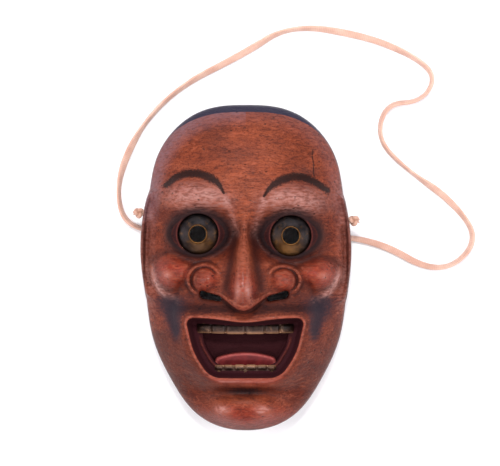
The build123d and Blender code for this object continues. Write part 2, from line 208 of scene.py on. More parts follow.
def relief(x, y):
    """Height of the carved face."""
    ax, ys = np.abs(x), leaned(x, y)
    h = dome(x, y)
    h = h + 3.0 * bump(x, ys, 0, 76, 46, 30)
    # glabella, brow hoods and eye hollows
    hood = 6.2 * bump(ax, ys, 32, 42.5, 24, 11.5, 1.5) * smooth((ax - 6.0) / 9.0)
    h = h + hood * smooth((ys - 29) / 9)
    h = h - 1.2 * bump(ax, ys, 35, 60, 24, 4)
    h = h - 6.5 * bump(ax, ys, EYE_X, 19.5, 24, 16.5, 1.9)
    h = h - 1.9 * bump(ax, ys, 11.0, 20, 5, 12)
    root, along = path_distance(ax, ys, [(5.5, 22), (8.0, 31), (12.0, 43)])
    h = h + 0.8 * np.exp(-((root / 2.4) ** 2)) * smooth(along / 0.25) * smooth((1 - along) / 0.4)
    # cheekbones, with a crisp lower edge
    cheek = bump(ax, ys, 46.5, -2.5, 14, 10, 1.7)
    h = h + 7.6 * cheek
    ridge, along = path_distance(ax, ys, arc([(61, 5), (59.5, -4), (55, -13.5), (44, -21)]))
    h = h + 1.6 * np.exp(-((ridge / 2.2) ** 2)) * smooth(along / 0.2) * smooth((1 - along) / 0.3)
    h = h + 3.8 * bump(ax, ys, 48.3, -4.0, 5.6, 5.0)
    h = h - 5.0 * bump(ax, ys, 54, -26, 10, 11)
    h = h - 2.0 * bump(ax, ys, 40, -22, 9, 5)
    # fold from the nostril wing down beside the mouth
    fold, along = path_distance(ax, y, arc([(37, -5), (42, -14), (46.5, -26), (45, -40), (38, -56)]))
    h = h - 1.7 * np.exp(-((fold / 2.4) ** 2)) * smooth(along / 0.12) * smooth((1 - along) / 0.6)
    # lips and chin
    mouth = mouth_distance(x, y)
    h = h + 6.5 * np.exp(-((np.maximum(mouth, 0) / 10.5) ** 2))
    h = h + 8.2 * bump(x, y, 0, -91.5, 27, 10.0, 1.8) + 3.6 * bump(ax, y, 12.5, -91.5, 8, 5.5)
    h = h - 4.2 * bump(x, y, 0, -78, 24, 3.6) - 1.5 * bump(ax, y, 30, -76, 8, 7)
    # nose
    nose, above = nose_height(x, ys)
    bulb, rings = wing_height(x, ys)
    h = smin(h + nose + bulb * np.maximum(above, 0.0) + rings, NOSE_TOP, 8.0)
    # eyeball and lids
    ex, ey, lid = eye_frame(x, y)
    ball = 19.0 + np.sqrt(np.maximum(30.0**2 - ex**2 - ey**2, 25.0))
    crest = ball + 0.5 + 0.6 * smooth(ey / 8)
    near = np.exp(-((np.maximum(lid - 0.3, 0) / 4.6) ** 2))
    outside = h * (1 - near) + crest * near
    inside = ball + (crest - ball) * smooth(1 + lid / 1.8)
    h = np.where(lid > 0, outside, inside)
    # mouth: a bright rim, then a wall that slopes to the gums
    h = h + 0.7 * np.exp(-((mouth / 0.6) ** 2))
    wall = 0.7 * smooth(-mouth / 3.2) + 0.3 * smooth(-mouth / 6.5)
    h = h * (1 - wall) + gum_height(x) * wall
    gum = np.exp(-(((throat_distance(x, y) - 1.7) / 0.8) ** 2)) * smooth((-42 - y) / 4)
    beside_teeth = np.maximum(smooth((ax - 18.5) / 2.5), smooth((y + 59) / 2))
    return h + 1.1 * gum * beside_teeth


def inside_relief(x, y):
    """Height of the hollow behind, with broad tool marks."""
    h = dome(x, y, 9.0) + 9.0 * bump(x, y, 0, -4, 13, 17)
    h = h - 5.0 * bump(np.abs(x), y, 27, EYE_Y, 22, 17, 1.5)
    past = np.hypot(np.maximum(np.abs(x) - 30, 0), np.maximum(np.abs(y + 52.5) - 17, 0))
    h = h + smooth(1 - past / 15) * np.minimum(20.0 - h, 0)
    row = np.floor(y / 7.0 + 0.3 * np.sin(x / 9))
    u = (y / 7.0 + 0.3 * np.sin(x / 9)) - row - 0.5
    return h + 0.5 * (0.25 - u**2) * 2


def ear_fields(x, y, z):
    """Distance outside the ears: long flat lobes with a raised rim."""
    side = np.sign(x)
    ax, ye = np.abs(x), y + 1.2 * side
    centre_x, radius = 67.6 - 128.0, 128.0
    outer = np.hypot(ax - centre_x, (ye - 12)) - radius
    ends = np.maximum(ye - 47.0, -20.0 - ye)
    lobe = smax(outer, ends, 5.0)
    rim = np.exp(-((outer + 1.3) / 1.2) ** 2)
    groove = np.exp(-(((outer + 4.6) / 1.9) ** 2)) * smooth((ye + 2) / 10) * smooth((46 - ye) / 8)
    groove = groove * (1 - np.exp(-(((ye - 33) / 6.5) ** 4)))
    top = 26.0 + 2.0 * rim - 6.5 * groove
    return smax(smax(lobe, (z - top) * 0.8, 1.6), 7.0 - z, 1.0)


def shell_columns(x, y):
    """Everything about a point that doesn't depend on its height."""
    e = 0.2
    h, hx, hy = relief(x, y), relief(x + e, y), relief(x, y + e)
    scale = 1 / np.sqrt(1 + np.minimum(((hx - h) / e) ** 2 + ((hy - h) / e) ** 2, 16))
    hollow = inside_relief(x, y)
    gone_x = np.abs(x + EYE_SHIFT) - EYE_X
    gone_y = from_eye_y(x, y)
    beside_nose = np.abs(x + WING_SHIFT)
    slot_x = np.abs(beside_nose - NOSTRIL_X)
    slot_y = y - NOSTRIL_Y + 0.26 * (22 - beside_nose)
    return {
        "h": h, "scale": scale, "hollow": hollow,
        "side": outline_distance(x, y), "inner": outline_distance(x, y, 7.5),
        "eye": np.hypot(gone_x, gone_y) - EYE_HOLE,
        "seat": np.hypot(gone_x, gone_y) - EYE_SEAT,
        "throat": throat_distance(x, y),
        "nostril": np.hypot(np.maximum(slot_x - 4.6, 0), slot_y) - 2.1 - 0.1 * (beside_nose - NOSTRIL_X),
        "tongue": np.maximum(np.abs(x) - 19.7, np.abs(y + 63.0) - 5.2),
    }


def from_eye_y(x, y):
    """Offset above the middle of the nearer eye; one eye sits a little higher."""
    return y - EYE_Y + EYE_LEAN * np.clip(x / 8, -1, 1)


def shell_field(x, y, z, c):
    """Negative inside the wood."""
    f = smax((z - c["h"]) * c["scale"], c["side"], 2.0)
    f = smin(f, ear_fields(x, y, z), 3.5)
    hollow = smax((z - c["hollow"]) * 0.85, c["inner"], 3.0)
    f = smax(f, -hollow, 0.8)
    f = smax(f, -c["eye"], 0.5)
    f = np.maximum(f, -np.maximum(c["seat"], z - EYE_LEDGE_Z))
    f = smax(f, -smax(c["throat"], THROAT_FLOOR - z, 1.5), 0.8)
    f = smax(f, -c["nostril"], 2.0)
    f = np.maximum(f, -np.maximum(np.maximum(c["tongue"], z - 33.2), THROAT_FLOOR - z))
    f = smax(f, -z, 0.8)
    radius = (SIDE_CHORD**2 + SIDE_RISE**2) / (2 * SIDE_RISE)
    f = smax(f, radius - np.hypot(y - SIDE_Y, z - (SIDE_RISE - radius)), 1.0)
    for side, hole_y in HOLES:
        bore = np.hypot(y - hole_y, z - HOLE_Z) - HOLE_RADIUS
        reach = np.maximum(bore, 42.0 - x * side)
        f = smax(f, -reach, 0.8)
    return f


def mesh_from_field(name, columns, field, low, high, step):
    """A closed mesh on the zero of a field; its points are then slid onto the exact surface."""
    axes = [np.arange(a, b + step, step) for a, b in zip(low, high)]
    gx, gy = np.meshgrid(axes[0], axes[1], indexing="ij")
    c = columns(gx, gy)
    block = np.stack([field(gx, gy, z, c) for z in axes[2]], axis=2)
    grid = openvdb.FloatGrid(4 * step)
    grid.copyFromArray(np.clip(block, -3 * step, 3 * step).astype(np.float32))
    points, quads = grid.convertToQuads(0.0)
    points = points.astype(float) * step + np.array(low)
    for _ in range(2):
        x, y, z = points.T
        e = 0.05
        c = columns(x, y)
        f = field(x, y, z, c)
        gx = (field(x + e, y, z, columns(x + e, y)) - f) / e
        gy = (field(x, y + e, z, columns(x, y + e)) - f) / e
        gz = (field(x, y, z + e, c) - f) / e
        size = np.maximum(gx**2 + gy**2 + gz**2, 0.15)
        move = np.clip(f / size, -0.5 * step, 0.5 * step)[:, None]
        points = points - move * np.stack([gx, gy, gz], axis=1)
    mesh = bpy.data.meshes.new(name)
    mesh.vertices.add(len(points))
    mesh.vertices.foreach_set("co", (points * MM).ravel())
    mesh.loops.add(quads.size)
    mesh.loops.foreach_set("vertex_index", quads.ravel().astype(np.int32))
    mesh.polygons.add(len(quads))
    mesh.polygons.foreach_set("loop_start", np.arange(0, quads.size, 4, dtype=np.int32))
    mesh.update(calc_edges=True)
    mesh.validate()
    mesh.shade_smooth()
    made = bpy.data.objects.new(name, mesh)
    bpy.context.scene.collection.objects.link(made)
    return made, points


def attribute(mesh, name, values):
    layer = mesh.attributes.new(name, "FLOAT", "POINT")
    layer.data.foreach_set("value", np.asarray(values, np.float32).ravel())


# ---------------------------------------------------------------- materials


def srgb(r, g, b):
    """Linear colour from the three numbers of a screen colour."""
    out = []
    for v in (r, g, b):
        v /= 255
        out.append(v / 12.92 if v <= 0.04045 else ((v + 0.055) / 1.055) ** 2.4)
    return (*out, 1.0)


class Nodes:
    """Short names for building a material's nodes."""

    def __init__(self, name):
        self.material = bpy.data.materials.new(name)
        self.material.use_nodes = True
        self.tree = self.material.node_tree
        self.shader = self.tree.nodes["Principled BSDF"]
        self.coords = self.tree.nodes.new("ShaderNodeTexCoord").outputs["Object"]

    def link(self, value, socket):
        if isinstance(value, bpy.types.NodeSocket):
            self.tree.links.new(value, socket)
        else:
            socket.default_value = value

    def mapped(self, scale, turn=(0, 0, 0)):
        node = self.tree.nodes.new("ShaderNodeMapping")
        self.link(self.coords, node.inputs["Vector"])
        node.inputs["Scale"].default_value = scale
        node.inputs["Rotation"].default_value = turn
        return node.outputs[0]

    def noise(self, scale, detail=3.0, rough=0.55, vector=None, distort=0.0):
        node = self.tree.nodes.new("ShaderNodeTexNoise")
        self.link(self.coords if vector is None else vector, node.inputs["Vector"])
        node.inputs["Scale"].default_value = scale
        node.inputs["Detail"].default_value = detail
        node.inputs["Roughness"].default_value = rough
        node.inputs["Distortion"].default_value = distort
        return node.outputs["Fac"]

    def spots(self, scale, vector=None):
        node = self.tree.nodes.new("ShaderNodeTexVoronoi")
        self.link(self.coords if vector is None else vector, node.inputs["Vector"])
        node.inputs["Scale"].default_value = scale
        return node.outputs["Distance"]

    def attribute(self, name):
        node = self.tree.nodes.new("ShaderNodeAttribute")
        node.attribute_name = name
        return node.outputs["Fac"]

    def math(self, operation, a, b=0.0, clamp=False):
        node = self.tree.nodes.new("ShaderNodeMath")
        node.operation = operation
        node.use_clamp = clamp
        self.link(a, node.inputs[0])
        self.link(b, node.inputs[1])
        return node.outputs[0]

    def ramp(self, value, low, high, out_low=0.0, out_high=1.0):
        node = self.tree.nodes.new("ShaderNodeMapRange")
        node.interpolation_type = "SMOOTHSTEP"
        self.link(value, node.inputs["Value"])
        node.inputs["From Min"].default_value = low
        node.inputs["From Max"].default_value = high
        node.inputs["To Min"].default_value = out_low
        node.inputs["To Max"].default_value = out_high
        return node.outputs["Result"]

    def mix(self, share, a, b):
        node = self.tree.nodes.new("ShaderNodeMix")
        node.data_type = "RGBA"
        self.link(share, node.inputs["Factor"])
        self.link(a, node.inputs["A"])
        self.link(b, node.inputs["B"])
        return next(o for o in node.outputs if o.type == "RGBA")

    def bump(self, height, distance, strength):
        node = self.tree.nodes.new("ShaderNodeBump")
        node.inputs["Distance"].default_value = distance
        node.inputs["Strength"].default_value = strength
        self.link(height, node.inputs["Height"])
        return node.outputs[0]

    def finish(self, color, roughness, normal=None, **constants):
        self.link(color, self.shader.inputs["Base Color"])
        self.link(roughness, self.shader.inputs["Roughness"])
        if normal is not None:
            self.link(normal, self.shader.inputs["Normal"])
        for name, value in constants.items():
            self.link(value, self.shader.inputs[name.replace("_", " ")])
        return self.material


def wood_material():
    """Worn lacquer over wood, with painted brows, patches and lips, and painted shade, highlights and
    sheen.
    """
    n = Nodes("lacquered_wood")
    cloud = n.noise(38, 4, 0.6)
    streak = n.noise(55, 4, 0.65, n.mapped((0.35, 2.4, 1.0)))
    fine = n.noise(420, 3, 0.6, n.mapped((0.5, 1.6, 1.0)))
    grain = n.noise(1300, 2, 0.6, n.mapped((0.7, 1.3, 1.0)))
    base = n.mix(n.ramp(cloud, 0.3, 0.7), srgb(84, 33, 23), srgb(126, 56, 36))
    base = n.mix(n.math("MULTIPLY", n.ramp(streak, 0.42, 0.72), 0.5), base, srgb(138, 66, 42))
    # warmer tone, with a lighter band down the nose ridge as painted light
    warm_and_ridge_light = n.math("MULTIPLY", n.attribute("warm_and_ridge_light"), n.ramp(streak, 0.2, 0.75, 0.35, 0.9))
    base = n.mix(warm_and_ridge_light, base, srgb(138, 66, 40))
    red = n.math("MULTIPLY", n.attribute("red"), n.ramp(cloud, 0.25, 0.7, 0.5, 1.0))
    base = n.mix(red, base, srgb(136, 42, 26))
    base = n.mix(n.math("MULTIPLY", n.ramp(fine, 0.45, 0.7), 0.5), base, srgb(66, 28, 24))
    base = n.mix(n.math("MULTIPLY", n.ramp(grain, 0.5, 0.64), 0.55), base, srgb(52, 22, 20))
    lines = n.noise(300, 3, 0.6, n.mapped((0.5, 1.5, 1.0)), 1.2)
    base = n.mix(n.math("MULTIPLY", n.ramp(lines, 0.5, 0.68), 0.45), base, srgb(50, 21, 19))
    base = n.mix(n.math("MULTIPLY", n.ramp(lines, 0.46, 0.32), 0.3), base, srgb(170, 88, 62))
    blotch = n.math("MULTIPLY", n.ramp(n.noise(22, 5, 0.65), 0.52, 0.72), 0.4)
    base = n.mix(blotch, base, srgb(58, 25, 22))
    shade = n.math("MULTIPLY", n.attribute("shade"), n.ramp(fine, 0.2, 0.8, 1.0, 0.75))
    base = n.mix(shade, base, srgb(52, 21, 17))
    # lighter colour: wear on the brow hoods, and painted highlights and sheen on ridges, cheeks, chin, lip
    # and nose tip
    pale_wear_and_highlight = n.math("MULTIPLY", n.attribute("pale_wear_and_highlight"), n.ramp(fine, 0.35, 0.65, 1.0, 0.25))
    base = n.mix(pale_wear_and_highlight, base, srgb(168, 118, 110))
    # dirt and painted shade in the hollows, wear and painted highlight on the ridges
    ridge_wear_and_highlight = n.ramp(n.attribute("cavity"), -0.5, -0.05, 0.55, 0.0)
    base = n.mix(n.math("MULTIPLY", ridge_wear_and_highlight, n.ramp(fine, 0.3, 0.7)), base, srgb(168, 92, 70))
    hollow_grime_and_shade = n.ramp(n.attribute("cavity"), 0.06, 0.8, 0.0, 0.7)
    base = n.mix(hollow_grime_and_shade, base, srgb(40, 18, 17))
    # painted sheen: a bluish reflection on the upper sides of the head, stronger on the left
    painted_sheen = n.math("MULTIPLY", n.attribute("painted_sheen"), n.ramp(fine, 0.3, 0.7, 0.65, 0.3))
    base = n.mix(painted_sheen, base, srgb(112, 88, 98))
    # pores and dark specks
    pores = n.ramp(n.spots(250, n.mapped((0.75, 1.25, 1.0))), 0.08, 0.23, 1.0, 0.0)
    pores = n.math("MULTIPLY", pores, n.ramp(n.noise(70, 3), 0.47, 0.62))
    base = n.mix(n.math("MULTIPLY", pores, 0.75), base, srgb(28, 12, 11))
    # paint
    edge = n.math("MULTIPLY", n.math("SUBTRACT", fine, 0.5), 0.5)
    for name, color, low, high, top in (
        ("socket", (26, 18, 21), 0.12, 0.95, 0.93),
        ("tache", (30, 15, 17), 0.15, 0.95, 0.85),
        ("patch", (43, 35, 43), 0.06, 0.95, 0.92),
        ("goatee", (26, 16, 18), 0.15, 0.85, 0.84),
        ("hair", (34, 34, 53), 0.4, 0.6, 0.97),
    ):
        mask = n.math("ADD", n.attribute(name), edge)
        base = n.mix(n.ramp(mask, low, high, 0.0, top), base, srgb(*color))
    base = n.mix(n.math("MULTIPLY", n.attribute("sclera"), 0.9), base, srgb(34, 13, 17))
    hairs = n.tree.nodes.new("ShaderNodeCombineXYZ")
    n.link(n.math("MULTIPLY", n.attribute("brow_along"), 62.0), hairs.inputs[0])
    n.link(n.math("MULTIPLY", n.attribute("brow_across"), 1.6), hairs.inputs[1])
    strokes = n.noise(1.0, 2, 0.5, hairs.outputs[0])
    brow = n.math("ADD", n.attribute("brow"), n.math("MULTIPLY", n.math("SUBTRACT", strokes, 0.5), 1.3))
    base = n.mix(n.ramp(brow, 0.3, 0.75, 0.0, 0.93), base, srgb(28, 15, 14))
    base = n.mix(n.ramp(n.attribute("maroon"), 0.3, 0.7, 0.0, 0.97), base, srgb(49, 17, 23))
    # painted shade in the mouth, nostrils and throat
    base = n.mix(n.ramp(n.attribute("dark"), 0.3, 0.7, 0.0, 0.96), base, srgb(20, 9, 10))
    # painted highlights: light lines on the lip, gum and nose edges and a glint round the eyes
    rim = n.math("MULTIPLY", n.attribute("rim"), n.ramp(fine, 0.3, 0.62, 0.55, 0.95))
    base = n.mix(rim, base, srgb(154, 74, 60))
    crack = n.ramp(n.math("ADD", n.attribute("crack"), edge), 0.4, 0.8, 0.0, 0.85)
    base = n.mix(crack, base, srgb(34, 14, 13))
    back = n.mix(n.ramp(streak, 0.3, 0.7), srgb(34, 20, 16), srgb(62, 38, 27))
    base = n.mix(n.ramp(n.attribute("back"), 0.35, 0.65), base, back)
    painted = n.math("ADD", n.attribute("patch"), n.attribute("tache"))
    painted = n.math("ADD", painted, n.attribute("maroon"))
    painted = n.math("ADD", painted, n.attribute("socket"))
    painted = n.math("ADD", painted, n.attribute("sclera"))
    painted = n.math("ADD", painted, n.attribute("back"), clamp=True)
    rough = n.ramp(cloud, 0.3, 0.7, 0.38, 0.5)
    rough = n.math("ADD", rough, n.math("MULTIPLY", n.math("SUBTRACT", fine, 0.5), 0.25))
    rough = n.math("ADD", rough, n.math("MULTIPLY", painted, 0.3), clamp=True)
    gloss = n.ramp(n.attribute("gloss"), 0.0, 1.0, 0.04, 0.75)
    coat = n.math("MULTIPLY", n.math("SUBTRACT", 1.0, painted), gloss)
    height = n.math("ADD", n.math("MULTIPLY", fine, 0.7), n.math("MULTIPLY", grain, 0.3))
    height = n.math("SUBTRACT", height, n.math("MULTIPLY", pores, 0.6))
    height = n.math("SUBTRACT", height, n.math("MULTIPLY", crack, 0.8))
    normal = n.bump(height, 0.0006, 0.9)
    return n.finish(
        base, rough, normal, Coat_Weight=coat, Coat_Roughness=0.14, Coat_Normal=normal,
        Specular_IOR_Level=0.08
    )


def metal_material(name, dark, mid, bright, scale=260.0, low=0.30, high=0.5, glow=None, metallic=0.75):
    """Old gilt metal: dark patina, rubbed bright in places, with fine scratches; a glow mask brightens it
    further and a shadow mask darkens it with painted shade.
    """
    n = Nodes(name)
    blotch = n.noise(scale, 5, 0.65)
    scratch = n.noise(900, 3, 0.6, n.mapped((1.0, 5.0, 1.0), (0, 0, 0.6)))
    color = n.mix(n.ramp(blotch, 0.35, 0.62), srgb(*dark), srgb(*mid))
    shine = n.math("MULTIPLY", n.ramp(n.noise(scale * 0.6, 4, 0.7), 0.5, 0.72), 0.85)
    if glow is not None:
        shine = n.math("ADD", n.attribute(glow), n.math("MULTIPLY", shine, 0.55))
        shine = n.math("MULTIPLY", shine, 0.95, clamp=True)
    color = n.mix(shine, color, srgb(*bright))
    color = n.mix(n.math("MULTIPLY", n.attribute("painted_shadow"), 0.75), color, srgb(12, 9, 11))
    rough = n.ramp(blotch, 0.3, 0.7, low, high)
    normal = n.bump(n.math("ADD", n.math("MULTIPLY", scratch, 0.4), blotch), 0.00016, 0.7)
    return n.finish(color, rough, normal, Metallic=metallic)


def tongue_material():
    n = Nodes("red_lacquer")
    wear = n.noise(150, 4, 0.6)
    fine = n.noise(700, 3, 0.6)
    color = n.mix(n.ramp(wear, 0.35, 0.65), srgb(88, 24, 27), srgb(116, 34, 36))
    # painted highlight: a bright pink line along the tongue's edge
    edge = n.math("MULTIPLY", n.attribute("edge"), n.ramp(fine, 0.3, 0.6, 0.6, 1.0))
    color = n.mix(edge, color, srgb(176, 86, 82))
    rough = n.ramp(wear, 0.3, 0.7, 0.42, 0.55)
    return n.finish(color, rough, n.bump(fine, 0.0001, 0.6), Specular_IOR_Level=0.2)


def cord_material():
    """A flat woven thong: fine ribs along it and a soft nap."""
    n = Nodes("cord_fibre")
    tone = n.noise(90, 4, 0.6)
    fibre = n.noise(1500, 3, 0.6)
    ribs = n.math("SINE", n.math("MULTIPLY", n.attribute("across"), 40.0))
    weave = n.math("SINE", n.math("MULTIPLY", n.attribute("along"), 5200.0))
    cloth = n.math("ADD", n.math("MULTIPLY", ribs, 0.5), n.math("MULTIPLY", weave, 0.35))
    cloth = n.math("ADD", cloth, fibre)
    color = n.mix(n.ramp(tone, 0.3, 0.7), srgb(204, 158, 140), srgb(226, 186, 168))
    color = n.mix(n.ramp(cloth, -0.2, 1.3, 0.35, 0.0), color, srgb(158, 108, 92))
    color = n.mix(n.math("MULTIPLY", n.attribute("knot_darkening"), 0.8), color, srgb(136, 84, 54))
    rough = n.ramp(fibre, 0.3, 0.7, 0.75, 0.92)
    return n.finish(color, rough, n.bump(cloth, 0.00012, 0.7), Sheen_Weight=0.25)


# ---------------------------------------------------------------- mask shell


def box_mean(values, reach):
    """Mean of a grid over a square, from running sums."""
    size = 2 * reach + 1
    padded = np.pad(values, reach + 1, mode="edge")
    total = padded.cumsum(0).cumsum(1)
    part = total[size:, size:] - total[:-size, size:] - total[size:, :-size] + total[:-size, :-size]
    return part[: values.shape[0], : values.shape[1]] / size**2


def cavity_at(x, y):
    """How much lower the face is than its surroundings, in mm."""
    step = 0.5
    gx, gy = np.meshgrid(np.arange(-72, 72, step), np.arange(-110, 110, step), indexing="ij")
    h = relief(gx, gy)
    lower = box_mean(h, 4) - h
    i = np.clip((x + 72) / step, 0, gx.shape[0] - 2)
    j = np.clip((y + 110) / step, 0, gx.shape[1] - 2)
    i0, j0 = i.astype(int), j.astype(int)
    u, v = i - i0, j - j0
    return (
        lower[i0, j0] * (1 - u) * (1 - v) + lower[i0 + 1, j0] * u * (1 - v)
        + lower[i0, j0 + 1] * (1 - u) * v + lower[i0 + 1, j0 + 1] * u * v
    )


def paint(mesh, p):
    """Where each colour of paint and wear lies, and where painted shade, highlights and sheen lie, as
    numbers on the mesh's points.
    """
    x, y, z = p.T
    ax, ys = np.abs(x), leaned(x, y)
    xn, beside_nose = np.abs(x + NOSE_SHIFT), np.abs(x + WING_SHIFT)
    front = smooth((z - relief(x, y) + 3.5) / 2.0) * smooth((z - 2) / 3)
    share = outline_share(x, y)
    ex, ey, lid = eye_frame(x, y)
    mouth = mouth_distance(x, y)
    attribute(mesh, "cavity", np.where(front > 0.5, cavity_at(x, y), 0.0))

    inside = (z < inside_relief(x, y) + 2.5) & (outline_share(x, y, 6.0) < 1.0)
    on_back = inside & (front < 0.4)
    attribute(mesh, "back", np.where(on_back | (z < 1.2), 1.0, 0.0))

    # Warmer tone on the forehead and chin, and a lighter band down the nose ridge as painted light.
    warm_and_ridge_light = bump(x, y, 0, 72, 52, 34, 2) + 0.8 * bump(ax, ys, 0, 18, 7, 30, 2)
    warm_and_ridge_light = warm_and_ridge_light + 0.5 * bump(x, y, 0, -90, 30, 14, 2)
    attribute(mesh, "warm_and_ridge_light", np.clip(warm_and_ridge_light, 0, 1) * front)
    red = bump(ax, ys, 47, -3, 12, 9, 2) + bump(xn, ys, 0, -14, 9, 13, 2)
    red = red + 0.7 * bump(ax, ys, 25, -7, 8, 8, 2)
    red = red + 0.8 * np.exp(-(((mouth - 2.0) / 2.5) ** 2)) * smooth((-62 - y) / 8)
    red = red + 0.9 * bump(x, y, 0, -95, 34, 9, 2)
    attribute(mesh, "red", np.clip(red, 0, 1) * front)
    beside, along = path_distance(xn, ys, arc([(5.5, 27), (6.6, 14), (8.4, 2), (11.0, -12)]))
    shade = np.exp(-((beside / 3.2) ** 2)) * smooth(along / 0.1)
    shade = np.maximum(shade, 0.8 * bump(x, ys, 0, 25.5, 10, 4.0))
    shade = np.maximum(shade, 0.5 * bump(ax, ys, EYE_X, 19.5, 25, 18, 3) * smooth((38 - ys) / 8))
    shade = np.maximum(shade, 0.6 * bump(ax, y, 20, -20, 26, 7, 2))
    shade = np.maximum(shade, 0.45 * bump(ax, ys, 33, 7, 14, 5, 1.5))
    fold, along = path_distance(ax, y, arc([(38, -8), (42.5, -16), (46, -28), (44, -42), (37, -58)]))
    shade = np.maximum(shade, 0.5 * np.exp(-((fold / 3.4) ** 2)) * smooth((1 - along) / 0.4))
    shade = np.maximum(shade, 0.5 * bump(x, y, 0, -77.5, 27, 4.5, 1.5))
    shade = np.maximum(shade, 0.35 * smooth((share - 0.9) / 0.1) * smooth((-40 - y) / 20))
    ear_root = np.exp(-(((outline_distance(x, y) - 2.0) / 2.2) ** 2))
    shade = np.maximum(shade, 0.6 * ear_root * (np.abs(ys - 14) < 33))
    below = np.exp(-(((np.hypot((ax - 46.5) / 1.35, ys + 2.5) - 11.5) / 2.2) ** 2))
    shade = np.maximum(shade, 0.7 * below)
    nostril = np.hypot(np.maximum(np.abs(beside_nose - NOSTRIL_X) - 5.5, 0), y + 18.0)
    shade = np.maximum(shade, np.exp(-((nostril / 4.8) ** 2)))
    jaw = smooth((-34 - y) / 10) * smooth((share - 0.5) / 0.3) * smooth((y + 90) / 18)
    shade = np.maximum(shade, (0.5 - 0.15 * np.sign(x)) * jaw)
    attribute(mesh, "shade", shade * smooth((z - 2) / 3))

    # Lighter colour: wear on the brow hoods; painted highlights on the glabella lines, the cheek ridges,
    # below the lower lip, on the chin, cheekbones and nose tip; painted sheen on the cheeks' sides.
    pale_wear_and_highlight = 0.8 * bump(ax, ys, 30, 43.5, 20, 9, 1.6)
    root, along = path_distance(ax, ys, [(5.5, 22), (8.0, 31), (12.0, 43)])
    pale_wear_and_highlight = pale_wear_and_highlight + 0.5 * np.exp(-((root / 2.4) ** 2))
    side = smooth((share - 0.86) / 0.1) * smooth((70 - y) / 30) * smooth((y + 40) / 20)
    ridge, along = path_distance(ax, ys, arc([(61, 5), (59, -5), (54, -14), (44, -21)]))
    pale_wear_and_highlight = pale_wear_and_highlight + 0.8 * np.exp(-((ridge / 2.4) ** 2)) * smooth((along - 0.1) / 0.3) + 0.3 * side
    under_lip = np.exp(-(((mouth - 1.7) / 0.7) ** 2)) * smooth((-68 - y) / 1.5)
    pale_wear_and_highlight = pale_wear_and_highlight + 0.7 * under_lip * smooth((20 - ax) / 5)
    pale_wear_and_highlight = pale_wear_and_highlight + 0.95 * bump(np.abs(x + 2.1), y, 12.7, -89.2, 4.2, 2.6)
    pale_wear_and_highlight = pale_wear_and_highlight + 0.9 * bump(ax, ys, 48.3, -4.0, 2.4, 1.9)
    pale_wear_and_highlight = pale_wear_and_highlight + 0.75 * bump(xn, ys, 3.2, -12.0, 2.0, 4.2)
    attribute(mesh, "pale_wear_and_highlight", np.clip(pale_wear_and_highlight, 0, 1) * front)
    gloss = 0.6 * bump(xn, ys, 0, -10, 6, 11) + 0.3 * bump(ax, ys, 48.3, -4, 6, 5.5)
    gloss = gloss + 0.4 * bump(ax, ys, 25, -6, 5, 5)
    gloss = gloss + 0.4 * bump(ax, y, 13, -90, 7, 4) + 0.25 * np.exp(-(((mouth - 0.6) / 1.0) ** 2))
    gloss = gloss + 0.4 * bump(ax, ys, 30, 43, 20, 9) + 0.6 * np.exp(-((ridge / 2.4) ** 2))
    # Painted sheen: a bluish reflection near the outline above the eyes, stronger where x is negative.
    painted_sheen = smooth((share - 0.84) / 0.12) * smooth((y - 20) / 25) * (0.65 - 0.35 * np.sign(x))
    attribute(mesh, "painted_sheen", painted_sheen * smooth((z - 3) / 4))
    attribute(mesh, "gloss", np.clip(gloss, 0, 1) * front)

    # Socket paint round each eye, reaching further above it as painted shadow under the upper lid.
    reach = 3.6 + 1.6 * smooth(ey / 8)
    socket = np.exp(-((np.maximum(lid + 0.6, 0) / reach) ** 1.6)) * (0.8 + 0.2 * smooth((lid + 2.8) / 2))
    ring = np.hypot(ex, ey)
    corner = smooth((np.abs(ex) - 9) / 3) * smooth(-(lid + 1.0) / 1.5) * smooth((ring - 12.6) / 0.6)
    socket = socket * (1 - 0.7 * corner)
    attribute(mesh, "sclera", corner * front)
    glint = np.exp(-(((ring - 13.5) / 0.4) ** 2)) * smooth((np.abs(ex) - 8) / 4)
    inner = np.exp(-((np.maximum(np.hypot(ex, ey) - 13.4, 0) / 1.2) ** 2))
    attribute(mesh, "socket", np.clip(np.maximum(socket, 0.75 * inner), 0, 1) * front)

    tache, along = path_distance(ax, y, arc([(0, -28.5), (12, -25.5), (26, -25.0), (38, -25.0), (47, -25)]))
    tache = np.exp(-((tache / 4.4) ** 2)) * (0.45 + 0.4 * smooth(ax / 12)) * smooth((mouth - 0.4) / 1.6)
    attribute(mesh, "tache", tache * front)
    middle = 48.3 - 4.3 * smooth((-20 - y) / 20)
    width = 2.8 + 11.0 * np.clip((y + 48) / 30, 0, 1) ** 1.2
    patch = np.exp(-((np.abs(ax - middle) / width) ** 1.7)) * smooth((-12 - y) / 10) * smooth((y + 54) / 16)
    patch = patch * smooth((mouth - 1.0) / 3)
    attribute(mesh, "patch", patch * front)
    goatee, along = path_distance(ax, y, [(0, -77.4), (11, -76.8), (20, -75.0)])
    strokes = 0.85 + 0.15 * np.cos(2.6 * x + 0.9 * np.sin(y))
    goatee = np.exp(-((goatee / 2.9) ** 2)) * (1 - 0.7 * smooth(ax / 20)) * strokes
    attribute(mesh, "goatee", goatee * front)
    band = outline_distance(x, y) + 5.2 * smooth((y - 78) / 26) ** 1.5 + 0.5
    hair = smooth((band + 0.7) / 1.4) * smooth((y - 42) / 8)
    attribute(mesh, "hair", hair * smooth((z - 3 - 24 * smooth((88 - y) / 42)) / 3))

